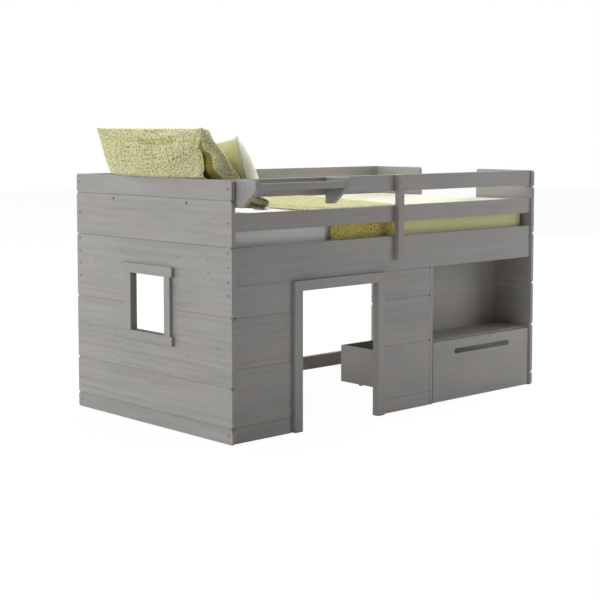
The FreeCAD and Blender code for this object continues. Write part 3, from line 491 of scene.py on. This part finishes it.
def mattress_in_sheet(finish):
    """Foam mattress in a fitted sheet: rounded edges and soft pulls, most at its ends."""
    low, high = (np.array(v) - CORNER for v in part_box("mattress"))
    shares, faces = box_skin(MATTRESS_CELLS)
    points = low + shares * (high - low)
    core = np.clip(points, low + MATTRESS_ROUND, high - MATTRESS_ROUND)
    away = points - core
    reach = np.linalg.norm(away, axis=1, keepdims=True)
    way = away / np.maximum(reach, 1e-9)
    from_end = np.abs(np.minimum(points[:, 0] - low[0], high[0] - points[:, 0]))
    near_end = np.exp(-from_end / PULL_REACH)
    pulls = waves(points * (1.0, 1.0, 0.35), PULL_SCALE, PULL_SEED) * SHEET_PULL * (0.5 + near_end)
    points = core + way * (np.minimum(reach, MATTRESS_ROUND) - np.abs(pulls)[:, None])
    flats = []
    for face in faces:
        corners = points[list(face)]
        drop = int(np.argmax(np.abs(np.cross(corners[2] - corners[0], corners[3] - corners[1]))))
        keep = [k for k in range(3) if k != drop]
        flats.append([tuple(corner[keep]) for corner in corners])
    return soft_mesh("sheeted_mattress", points, faces, flats, finish)


# Cover and throw, draped across the bed

COVER_SOLID, COVER_BODY, COVER_BEND = 0.010, 0.006, 0.02
THROW_SOLID, THROW_BODY, THROW_BEND = 0.008, 0.0045, 0.024
COVER_GRID, THROW_GRID = (120, 110), (130, 70)  # rows across the bed and columns along it
COVER_EDGE = 0.640
HEM = 0.7955
RIPPLE_SCALE, HANG_START = 9.0, 0.05
THROW_SINK, SINK_OVERLAP, SINK_RUN = 0.0095, 0.01, 0.045
THROW_RUN = (0.0, 0.10, 0.16, 0.33, 0.52, 0.75, 1.17, 1.32)
THROW_HEAD_EDGE = (0.606, 0.600, 0.585, 0.556, 0.580, 0.612, 0.662, 0.664)
THROW_FOOT_EDGE = (1.048, 1.048, 1.050, 1.092, 1.152, 1.218, 1.318, 1.322)


def profile(front, back, top, hem, radius, count):
    """Places (y, z) across the bed: up the front, over the top and down the back, evenly spaced."""
    corner = np.linspace(0, math.pi / 2, 7)
    path = [(front, hem)]
    path += [(front + radius * (1 - math.cos(a)), top - radius * (1 - math.sin(a))) for a in corner]
    path += [(back - radius * (1 - math.sin(a)), top - radius * (1 - math.cos(a))) for a in corner]
    path += [(back, hem)]
    path = np.array(path)
    run = np.concatenate([[0], np.cumsum(np.linalg.norm(np.diff(path, axis=0), axis=1))])
    along = np.linspace(0, run[-1], count)
    return along, np.stack([np.interp(along, run, path[:, k]) for k in (0, 1)], axis=1)


def draped(name, edges, section, columns, thickness, finish, ripple, seed, sink=0.0):
    """A cloth laid across the bed between two edges, with soft ripples and a step down off the cover."""
    run, places = section
    left, right = edges
    rows = len(run)
    shares = np.linspace(0, 1, columns)
    points, flats = [], []
    for r in range(rows):
        width = right[r] - left[r]
        for share in shares:
            points.append((left[r] + width * share, places[r, 0], places[r, 1]))
            flats.append((width * (share - 0.5), run[r]))
    points = np.array(points)
    bumps = waves(points, RIPPLE_SCALE, seed) * ripple
    hang = np.repeat(ease((places[:, 1].max() - places[:, 1]) / HANG_START), columns)
    front = np.repeat(np.where(places[:, 0] < places[:, 0].mean(), -1.0, 1.0), columns)
    points[:, 2] += bumps * (1 - hang)
    points[:, 1] += bumps * hang * front
    points[:, 2] -= sink * (1 - hang) * ease((COVER_EDGE + SINK_OVERLAP - points[:, 0]) / SINK_RUN)
    faces = grid_faces(rows, columns)
    uv = [[flats[i] for i in face] for face in faces]
    piece = soft_mesh(name, points, faces, uv, finish)
    body = piece.modifiers.new("cloth body", "SOLIDIFY")
    body.thickness, body.offset = thickness, 0.0
    apply_modifiers(piece)
    return piece


def bed_cover(finish):
    """Pale quilted cover over the foot part of the mattress."""
    low, high = (np.array(v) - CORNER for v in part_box("bed_cover"))
    inset = COVER_SOLID / 2 + 0.001
    rows, columns = COVER_GRID
    section = profile(low[1] + inset, high[1] - inset, high[2] - inset, HEM, COVER_BEND, rows)
    left, right = np.full(rows, COVER_EDGE), np.full(rows, high[0] - 0.001)
    piece = draped("draped_cover", (left, right), section, columns, COVER_BODY, finish, 0.0012, 3)
    return piece, (right[0] - left[0], section[0][-1])


def bed_throw(finish):
    """Woven throw laid across the bed, wider at the back."""
    low, high = (np.array(v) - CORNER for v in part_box("woven_throw"))
    inset = THROW_SOLID / 2 + 0.0002
    rows, columns = THROW_GRID
    section = profile(low[1] + inset, high[1] - inset, high[2] - inset, HEM, THROW_BEND, rows)
    run = section[0]
    left = np.interp(run, THROW_RUN, THROW_HEAD_EDGE)
    right = np.interp(run, THROW_RUN, THROW_FOOT_EDGE)
    piece = draped(
        "draped_throw", (left, right), section, columns, THROW_BODY, finish, 0.0014, 5, THROW_SINK)
    area = float(np.sum((right - left)[:-1] * np.diff(run)))
    return piece, (float((right - left).mean()), float(run[-1])), area


# Pillows in open cases

CASE_ROWS, FACE_STEPS, POCKET_STEPS = 56, 62, 7
POCKET_DEPTH = 0.062
LIP_SHARES = np.array((0, 0.07, 0.14, 0.21, 0.30, 0.38, 0.48, 0.60, 0.80, 0.95, 1))
SEAM_ROUND, MOUTH_ROUND = 0.24, 0.30  # metres over which a face rises from its seam and its mouth
SWELL_FRAMES, SWELL_CAP, HELD_REACH = 16, 0.006, 0.004
# the painted shade inside a mouth grows with the gap of the mouth
MOUTH_OPEN = (0.004, 0.012)  # gap at which a mouth begins to darken, and the run to full dark
MATTRESS_TOP = 0.9335
PANEL_TOP, PANEL_INSIDE = 1.0885, 0.0215

WOVEN_CASE = {
    "size": (0.77, 0.52), "crown": (0.100, 0.040), "pull": 0.0,
    "back_shares": (0, 0.6, 0.8, 1),
    "back_edge": (
        (-0.086, 0.838, 1.302), (0.030, 0.838, 1.090), (0.095, 0.838, 1.000), (0.205, 0.838, 0.947),
    ),
    "outer_lip": (
        (-0.056, 0.120, 1.299), (-0.054, 0.128, 1.270), (-0.051, 0.140, 1.240), (-0.048, 0.150, 1.223),
        (-0.020, 0.165, 1.194), (-0.005, 0.172, 1.164), (0.002, 0.177, 1.130), (0.006, 0.180, 1.092),
        (0.205, 0.118, 0.990), (0.292, 0.119, 0.968), (0.272, 0.124, 0.947),
    ),
    "inner_lip": (
        (-0.056, 0.120, 1.299), (-0.053, 0.124, 1.270), (-0.050, 0.124, 1.236), (-0.040, 0.124, 1.211),
        (-0.001, 0.124, 1.188), (0.008, 0.124, 1.165), (0.012, 0.124, 1.135), (0.050, 0.124, 1.100),
        (0.205, 0.118, 0.990), (0.292, 0.119, 0.968), (0.272, 0.124, 0.947),
    ),
    "inner_edge": (
        (-0.056, 0.120, 1.299), (-0.002, 0.092, 1.286), (0.003, 0.067, 1.260), (0.011, 0.052, 1.230),
        (0.030, 0.047, 1.192), (0.060, 0.047, 1.164), (0.088, 0.052, 1.132), (0.152, 0.077, 1.087),
        (0.262, 0.120, 1.020), (0.310, 0.120, 0.970), (0.272, 0.124, 0.947),
    ),
}
PLAIN_CASE = {
    "size": (0.72, 0.44), "crown": (0.050, 0.060), "pull": 0.13,
    "back_shares": (0, 1), "back_edge": ((0.080, 0.790, 1.266), (0.384, 0.790, 0.947)),
    "outer_lip": (
        (0.104, 0.090, 1.272), (0.115, 0.098, 1.246), (0.124, 0.103, 1.226), (0.135, 0.108, 1.203),
        (0.149, 0.115, 1.173), (0.160, 0.119, 1.147), (0.173, 0.123, 1.115), (0.190, 0.127, 1.076),
        (0.212, 0.133, 0.985), (0.250, 0.128, 0.949), (0.300, 0.116, 0.947),
    ),
    "inner_lip": (
        (0.104, 0.090, 1.272), (0.115, 0.098, 1.246), (0.124, 0.103, 1.226), (0.135, 0.108, 1.203),
        (0.149, 0.115, 1.173), (0.160, 0.119, 1.147), (0.173, 0.123, 1.115), (0.190, 0.127, 1.076),
        (0.250, 0.116, 1.007), (0.308, 0.115, 0.977), (0.300, 0.116, 0.947),
    ),
    "inner_edge": (
        (0.104, 0.090, 1.272), (0.150, 0.118, 1.252), (0.172, 0.122, 1.231), (0.190, 0.124, 1.206),
        (0.211, 0.126, 1.175), (0.226, 0.127, 1.148), (0.244, 0.128, 1.116), (0.262, 0.128, 1.077),
        (0.292, 0.126, 1.010), (0.318, 0.118, 0.968), (0.300, 0.116, 0.947),
    ),
}


def through(table, shares):
    """Smooth curve through points that are given at the lip shares."""
    table = np.array(table)
    slopes = np.gradient(table, LIP_SHARES, axis=0)
    first = np.clip(np.searchsorted(LIP_SHARES, shares, side="right") - 1, 0, len(LIP_SHARES) - 2)
    width = np.diff(LIP_SHARES)[first][:, None]
    x = (shares[:, None] - LIP_SHARES[first][:, None]) / width
    start, end = table[first], table[first + 1]
    smooth = x * x * (3 - 2 * x)
    return (start * (1 - smooth) + end * smooth
            + width * (slopes[first] * x * (1 - x) ** 2 - slopes[first + 1] * x * x * (1 - x)))


def round_over(value):
    """Quarter circle from 0 to 1."""
    return np.sqrt(1 - (1 - np.clip(value, 0, 1)) ** 2)


def case_face(case, outer):
    """Points of one face, by rows from top to foot and steps from the back seam to the lip."""
    rows = np.linspace(0, 1, CASE_ROWS)
    steps = np.sin(np.linspace(0, math.pi / 2, FACE_STEPS))
    lip = through(case["outer_lip" if outer else "inner_lip"], rows)
    down, along = rows[:, None, None], steps[None, :, None]
    pulled = down + case["pull"] * (4 * along * (1 - along)) ** 0.7 * (1 - 2 * down)
    front = lip[0] + (lip[-1] - lip[0]) * pulled
    if not outer:
        straight = lip[0] + (lip[-1] - lip[0]) * rows[:, None]
        front = front + (through(case["inner_edge"], rows) - straight)[:, None, :] * along ** 2
    back = np.stack([
        np.interp(pulled[..., 0], case["back_shares"], values) for values in zip(*case["back_edge"])
    ], axis=2)
    base = back * (1 - along) + front * along
    lean = (lip[-1] - lip[0]) / np.linalg.norm(lip[-1] - lip[0])
    away = np.array((lean[2], 0, -lean[0])) * (1 if outer else -1)
    rise = np.sin(math.pi * down) ** 0.8 * round_over(along * case["size"][0] / SEAM_ROUND)
    if not outer:
        rise = rise * round_over((1 - along) * case["size"][0] / MOUTH_ROUND)
    face = base + away * rise * case["crown"][0 if outer else 1]
    wanted = (lip - face[:, -1])[:, None, :]
    if outer:
        return face + wanted * ease((along - 0.60) / 0.40)
    return face + wanted * (1 - np.sqrt(1 - np.clip((along - 0.90) / 0.10, 0, 1) ** 2))


def case_loop(case):
    """Closed loops of points round the case, row by row: outer face, pocket of the mouth, inner face."""
    outer, inner = case_face(case, True), case_face(case, False)
    lips = outer[:, -1], inner[:, -1]
    gap = np.linalg.norm(lips[0] - lips[1], axis=1)
    depth = POCKET_DEPTH * np.sqrt(gap / gap.max())
    bottom = (lips[0] + lips[1]) / 2 + np.stack([0 * depth, depth, 0 * depth], axis=1)
    shares = np.linspace(0, 1, POCKET_STEPS)[1:-1, None, None]
    going = lips[0] + (bottom - lips[0]) * shares
    coming = bottom + (lips[1] - bottom) * shares
    pocket = np.concatenate([going, bottom[None], coming]).transpose(1, 0, 2)
    return np.concatenate([outer, pocket, inner[:, ::-1]], axis=1)


def weld(piece, distance=0.0005):
    """Merges the points that share a place, as along the seams, and turns the faces outwards."""
    shell = bmesh.new()
    shell.from_mesh(piece.data)
    bmesh.ops.remove_doubles(shell, verts=shell.verts, dist=distance)
    bmesh.ops.dissolve_degenerate(shell, edges=shell.edges, dist=distance / 10)
    bmesh.ops.recalc_face_normals(shell, faces=shell.faces)
    shell.to_mesh(piece.data)
    shell.free()


def swell(piece, held_points, pressure):
    """Fills a case by a short cloth run with its mouth held; no point moves further than the cap."""
    base = np.array([v.co for v in piece.data.vertices])
    near = np.array([min(np.linalg.norm(held_points - p, axis=1)) for p in base])
    mouth = piece.vertex_groups.new(name="mouth")
    mouth.add([int(i) for i in np.flatnonzero(near < HELD_REACH)], 1.0, "REPLACE")
    cloth = piece.modifiers.new("filling", "CLOTH")
    settings = cloth.settings
    settings.quality, settings.mass = 6, 0.3
    settings.vertex_group_mass = "mouth"
    settings.use_pressure, settings.uniform_pressure_force = True, pressure
    settings.effector_weights.gravity = 0
    cloth.point_cache.frame_start, cloth.point_cache.frame_end = 1, SWELL_FRAMES
    for step in range(1, SWELL_FRAMES + 1):
        scene.frame_set(step)
    apply_modifiers(piece)
    scene.frame_set(1)
    piece.vertex_groups.clear()
    moved_by = np.array([v.co for v in piece.data.vertices]) - base
    length = np.maximum(np.linalg.norm(moved_by, axis=1, keepdims=True), 1e-9)
    return base + moved_by * np.minimum(1, SWELL_CAP / length)


def resting(points):
    """Keeps a pillow above the mattress, and inside or above the head end."""
    points = points - CORNER
    points[:, 2] = np.maximum(points[:, 2], MATTRESS_TOP)
    low = points[:, 2] < PANEL_TOP
    points[low, 0] = np.maximum(points[low, 0], PANEL_INSIDE)
    return points + CORNER


def pillow(name, case, finish, pressure):
    """A stuffed pillow in its open case, leaning against the head end."""
    loops = case_loop(case)
    rows, around = loops.shape[:2]
    height = case["size"][1]
    run = np.concatenate([[0], np.cumsum(np.linalg.norm(np.diff(loops[rows // 2], axis=0), axis=1))])
    faces, flats = [], []
    for r in range(rows - 1):
        for c in range(around - 1):
            ring = ((r, c), (r, c + 1), (r + 1, c + 1), (r + 1, c))
            faces.append(tuple(a * around + b for a, b in ring))
            flats.append([(run[b], a / (rows - 1) * height) for a, b in ring])
    piece = soft_mesh(name, loops.reshape(-1, 3), faces, flats, finish)
    gap = np.linalg.norm(loops[:, FACE_STEPS - 1] - loops[:, around - FACE_STEPS], axis=1)
    # marks the inside of the mouth for painted shade, more where the mouth gapes
    inside = np.zeros((rows, around), dtype=np.float32)
    inside[:, FACE_STEPS:around - FACE_STEPS] = ease((gap - MOUTH_OPEN[0]) / MOUTH_OPEN[1])[:, None]
    piece.data.attributes.new("inside", "FLOAT", "POINT").data.foreach_set("value", inside.ravel())
    weld(piece)
    mouth = loops[:, FACE_STEPS - 1:around - FACE_STEPS + 1].reshape(-1, 3) + CORNER
    points = np.array([v.co for v in piece.data.vertices])
    points = swell(piece, mouth, pressure)
    for vertex, place in zip(piece.data.vertices, resting(points)):
        vertex.co = place
    piece.modifiers.new("smooth", "SUBSURF").levels = 1
    apply_modifiers(piece)
    piece.data.shade_smooth()
    return piece


FOLD_WAY = (-0.75, 0.0, 0.25)
FOLD_DOWN, FOLD_SLANT = 0.058, 0.024  # shares of the case's height
FOLD_RISE, FOLD_DIP = 0.022, 0.026
CORNER_SHARE = 0.25  # four faces meet at a point, and each moves it by its share


def press_fold(piece, case):
    """Presses a fold into the outer face near its top, by its UV places."""
    mesh = piece.data
    flat = np.zeros(len(mesh.loops) * 2, np.float32)
    corner_of = np.zeros(len(mesh.loops), np.int32)
    mesh.uv_layers["cloth"].data.foreach_get("uv", flat)
    mesh.loops.foreach_get("vertex_index", corner_of)
    along, down = flat.reshape(-1, 2).T / np.array(case["size"])[:, None]
    line = FOLD_DOWN + FOLD_SLANT * ease((along - 0.45) / 0.13)
    window = ease((along - 0.40) / 0.10) * ease((0.80 - along) / 0.10)
    above, below = (down - line + 0.020) / 0.020, (down - line - 0.010) / 0.013
    depth = window * (FOLD_RISE * np.exp(-above ** 2) - FOLD_DIP * np.exp(-below ** 2))
    for index, step in zip(corner_of, depth):
        if step:
            mesh.vertices[int(index)].co += Vector(FOLD_WAY) * float(step) * CORNER_SHARE


def plain_pillow(finish):
    """Plain pillow with pointed corners, behind the woven one."""
    return pillow("smooth_pillow", PLAIN_CASE, finish, 4.0)


def woven_pillow(finish):
    """Pillow in a woven case that leans over the head end, its open mouth at the front."""
    piece = pillow("woven_pillowcase", WOVEN_CASE, finish, 3.0)
    press_fold(piece, WOVEN_CASE)
    return piece


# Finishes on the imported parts

def put_finish(node, finish):
    """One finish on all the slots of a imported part."""
    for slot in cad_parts[node].material_slots:
        slot.material = finish


def finish_boards():
    """Gives every board its own pine, cut from its own place in the tree."""
    number = 0
    for along, boards in GRAIN.items():
        for board in boards:
            number += 1
            stain = BARE_PINE if board in BARE_BOARDS else GREY_STAIN
            put_finish(board, pine("pine_" + board, board, along, number, stain))


def finish_fittings():
    """Steel and plastic parts."""
    steel, plastic = zinc_steel(), wheel_plastic()
    for node in STEEL_PARTS:
        put_finish(node, steel)
    for node in WHEELS:
        put_finish(node, plastic)


SHEET_WHITE = (0.85, 0.85, 0.84, 1), (0.87, 0.87, 0.865, 1)
COVER_PALE = (0.785, 0.78, 0.615, 1), (0.815, 0.81, 0.665, 1)
# painted shade: the side colours of the cover and the throw are multiplied onto their hanging front
# ends, where shade falls
COVER_SIDE_SHADE = (0.99, 0.98, 0.67, 1)
THROW_TINT, THROW_SIDE_SHADE = (0.88, 0.88, 0.77, 1), (1.0, 0.90, 0.47, 1)
PILLOW_PALE = (0.94, 0.93, 0.69, 1), (0.96, 0.95, 0.74, 1)
# painted shade: dark colours multiplied into the inside of the pillow mouths
PILLOW_MOUTH_SHADE, WOVEN_MOUTH_SHADE = (0.10, 0.07, 0.10, 1), (0.36, 0.31, 0.05, 1)


def settle(piece, node):
    """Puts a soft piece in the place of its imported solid, on the bed."""
    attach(piece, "bed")
    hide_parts(node)


def make_bedding():
    """Mattress, cover, throw and the two pillows."""
    mattress = mattress_in_sheet(cotton("white_sheet_cotton", *SHEET_WHITE, 0.1))
    settle(mattress, "mattress")
    cover, cover_flat = bed_cover(cotton("pale_cover_cotton", *COVER_PALE, 0.15, COVER_SIDE_SHADE))
    settle(cover, "bed_cover")
    throw, throw_flat, throw_area = bed_throw(woven_slub("woven_fabric_throw", THROW_TINT, THROW_SIDE_SHADE))
    settle(throw, "woven_throw")
    smooth = plain_pillow(cotton("pale_pillow_cotton", *PILLOW_PALE, 0.6, inside_shade=PILLOW_MOUTH_SHADE))
    settle(smooth, "plain_pillow")
    woven = woven_pillow(woven_slub("woven_fabric_pillow", inside_shade=WOVEN_MOUTH_SHADE))
    settle(woven, "woven_pillow")


# Floor, light and camera

CAMERA_PLACE = (-4.4683, -4.6900, 1.2894)
CAMERA_YAW, CAMERA_PITCH = math.radians(47.2016), math.radians(-4.1619)
CAMERA_LENS, CAMERA_SHIFT = 81.179, -0.12
CAMERA_SENSOR = 36.0
WORLD_LIGHT = 0.07
FLOOR_SIZE, FLOOR_GREY = 40, (0.80, 0.80, 0.80, 1)
FLOOR_GLOW, GLOW_LEVEL = 0.92, 1.05
LAMPS = (  # name, place, target, size, power
    ("head_side_lamp", (-16.0, 0.5, 2.5), (-0.6, 0, 0.55), 8.0, 910),
    ("head_corner_lamp", (-12.0, 10.0, 3.0), (-0.6, 0, 0.55), 8.0, 420),
    ("back_lamp", (-5.5, 17.0, 3.2), (-0.3, 0, 0.55), 9.0, 1550),
    ("front_right_lamp", (4.5, -4.5, 1.8), (0.6, 0, 0.5), 3.0, 92),
    ("foot_side_lamp", (9.0, 2.2, 3.4), (-0.7, 0, 1.1), 4.0, 640),
    ("overhead_lamp", (0.2, 0.2, 5.0), (0, 0, 0.9), 3.4, 146),
)


def seen_share(tree):
    """1 for what the camera sees directly or in metal and glass, else 0."""
    path = add(tree, "LightPath").outputs
    seen = sums(tree, "MAXIMUM", path["Is Camera Ray"], path["Is Glossy Ray"])
    return sums(tree, "MAXIMUM", seen, path["Is Transmission Ray"])


def make_world():
    """White surroundings: full white to the eye, a low even light on the object."""
    world = bpy.data.worlds.new("white_room")
    world.use_nodes = True
    scene.world = world
    tree = world.node_tree
    back = tree.nodes["Background"]
    back.inputs["Color"].default_value = (1, 1, 1, 1)
    feed(tree, back.inputs["Strength"], spread(tree, seen_share(tree), 0, 1, WORLD_LIGHT, 1.0))


def make_floor():
    """Pale floor that keeps a faint shadow of the bed."""
    bpy.ops.mesh.primitive_plane_add(size=FLOOR_SIZE, location=(0, 0, 0))
    floor = bpy.context.object
    floor.name = "studio_floor"
    finish, tree, shader = new_finish("studio_floor_pale")
    shader.inputs["Base Color"].default_value = FLOOR_GREY
    shader.inputs["Roughness"].default_value = 1.0
    shader.inputs["Specular IOR Level"].default_value = 0.0
    glow = add(tree, "Emission", {"Color": (1, 1, 1, 1), "Strength": GLOW_LEVEL})
    both = add(tree, "MixShader")
    feed(tree, both.inputs[0], sums(tree, "MULTIPLY", seen_share(tree), FLOOR_GLOW))
    feed(tree, both.inputs[1], shader.outputs["BSDF"])
    feed(tree, both.inputs[2], glow.outputs["Emission"])
    feed(tree, tree.nodes["Material Output"].inputs["Surface"], both.outputs["Shader"])
    floor.data.materials.append(finish)


def soft_lamp(name, place, target, size, power):
    """A large square lamp that faces a point."""
    lamp = bpy.data.lights.new(name, "AREA")
    lamp.shape, lamp.size, lamp.energy = "SQUARE", size, power
    holder = bpy.data.objects.new(name, lamp)
    holder.location = place
    holder.rotation_euler = (Vector(target) - Vector(place)).to_track_quat("-Z", "Y").to_euler()
    bpy.context.collection.objects.link(holder)


def make_lamps():
    """Broad light from head, back and foot side, one lamp overhead and a weak one at the front right."""
    for lamp in LAMPS:
        soft_lamp(*lamp)


def make_camera():
    """Camera at the photograph's viewing angle."""
    lens = bpy.data.cameras.new("catalogue_camera")
    lens.lens, lens.sensor_width, lens.shift_y = CAMERA_LENS, CAMERA_SENSOR, CAMERA_SHIFT
    camera = bpy.data.objects.new("catalogue_camera", lens)
    camera.location = CAMERA_PLACE
    level = math.cos(CAMERA_PITCH)
    ahead = Vector((level * math.cos(CAMERA_YAW), level * math.sin(CAMERA_YAW), math.sin(CAMERA_PITCH)))
    camera.rotation_euler = ahead.to_track_quat("-Z", "Y").to_euler()
    bpy.context.collection.objects.link(camera)
    scene.camera = camera


make_camera()
make_world()
make_floor()
make_lamps()
finish_boards()
finish_fittings()
make_bedding()
